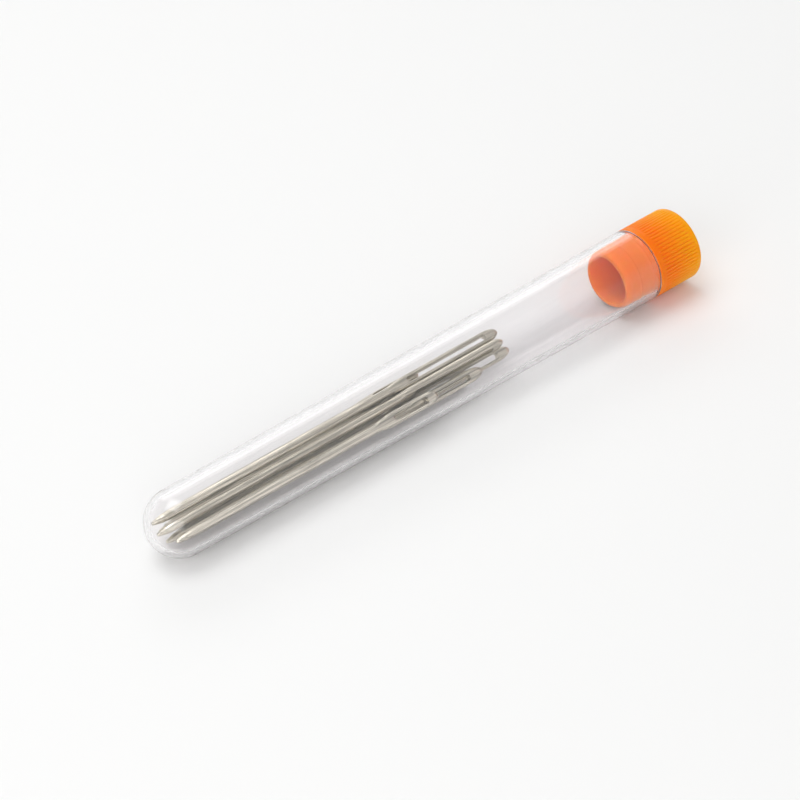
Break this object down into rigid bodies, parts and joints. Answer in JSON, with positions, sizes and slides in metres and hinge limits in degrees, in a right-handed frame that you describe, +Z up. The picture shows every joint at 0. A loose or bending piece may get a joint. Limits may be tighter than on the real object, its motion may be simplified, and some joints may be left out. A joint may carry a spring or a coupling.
{
  "type": "yarn needle set",
  "caption": "Large-eye blunt yarn needles of several lengths, lying loose in a clear round-bottomed tube with a ribbed push-in cap.",
  "frame": {"origin": "centre of the bounding box's bottom face: the tube lies on its side on Z = 0", "axes": "+X along the tube towards the cap, +Z up, +Y completes the right-handed frame"},
  "size_m": [0.1114, 0.013, 0.0131],
  "materials": {
    "clear_plastic": "clear, polished",
    "orange_plastic": "translucent, satin",
    "nickel_steel": "nickel-plated, finely ground along its length"
  },
  "bodies": {
    "case": {"case_tube": "clear_plastic"},
    "cap": {"cap": "orange_plastic"},
    "long_needle_a": {"long_needle_a": "nickel_steel"},
    "long_needle_b": {"long_needle_b": "nickel_steel"},
    "long_needle_c": {"long_needle_c": "nickel_steel"},
    "medium_needle_a": {"medium_needle_a": "nickel_steel"},
    "medium_needle_b": {"medium_needle_b": "nickel_steel"},
    "medium_needle_c": {"medium_needle_c": "nickel_steel"},
    "short_needle_a": {"short_needle_a": "nickel_steel"},
    "short_needle_b": {"short_needle_b": "nickel_steel"},
    "short_needle_c": {"short_needle_c": "nickel_steel"}
  },
  "joints": [
    {"name": "cap_pull", "type": "slide", "parent": "case", "child": "cap", "axis": [1, 0, 0.0088], "range_m": [0, 0.03]},
    {"name": "long_needle_a_slide", "type": "slide", "parent": "case", "child": "long_needle_a", "axis": [1, 0, 0.0088], "range_m": [0, 0.0229]},
    {"name": "long_needle_b_slide", "type": "slide", "parent": "case", "child": "long_needle_b", "axis": [1, 0, 0.0088], "range_m": [0, 0.0232]},
    {"name": "long_needle_c_slide", "type": "slide", "parent": "case", "child": "long_needle_c", "axis": [1, 0, 0.0088], "range_m": [0, 0.022]},
    {"name": "medium_needle_a_slide", "type": "slide", "parent": "case", "child": "medium_needle_a", "axis": [1, 0, 0.0088], "range_m": [0, 0.0292]},
    {"name": "medium_needle_b_slide", "type": "slide", "parent": "case", "child": "medium_needle_b", "axis": [1, 0, 0.0088], "range_m": [0, 0.0321]},
    {"name": "medium_needle_c_slide", "type": "slide", "parent": "case", "child": "medium_needle_c", "axis": [1, 0, 0.0088], "range_m": [0, 0.0303]},
    {"name": "short_needle_a_slide", "type": "slide", "parent": "case", "child": "short_needle_a", "axis": [1, 0, 0.0088], "range_m": [0, 0.0395]},
    {"name": "short_needle_b_slide", "type": "slide", "parent": "case", "child": "short_needle_b", "axis": [1, 0, 0.0088], "range_m": [0, 0.0381]},
    {"name": "short_needle_c_slide", "type": "slide", "parent": "case", "child": "short_needle_c", "axis": [1, 0, 0.0088], "range_m": [0, 0.0387]}
  ]
}
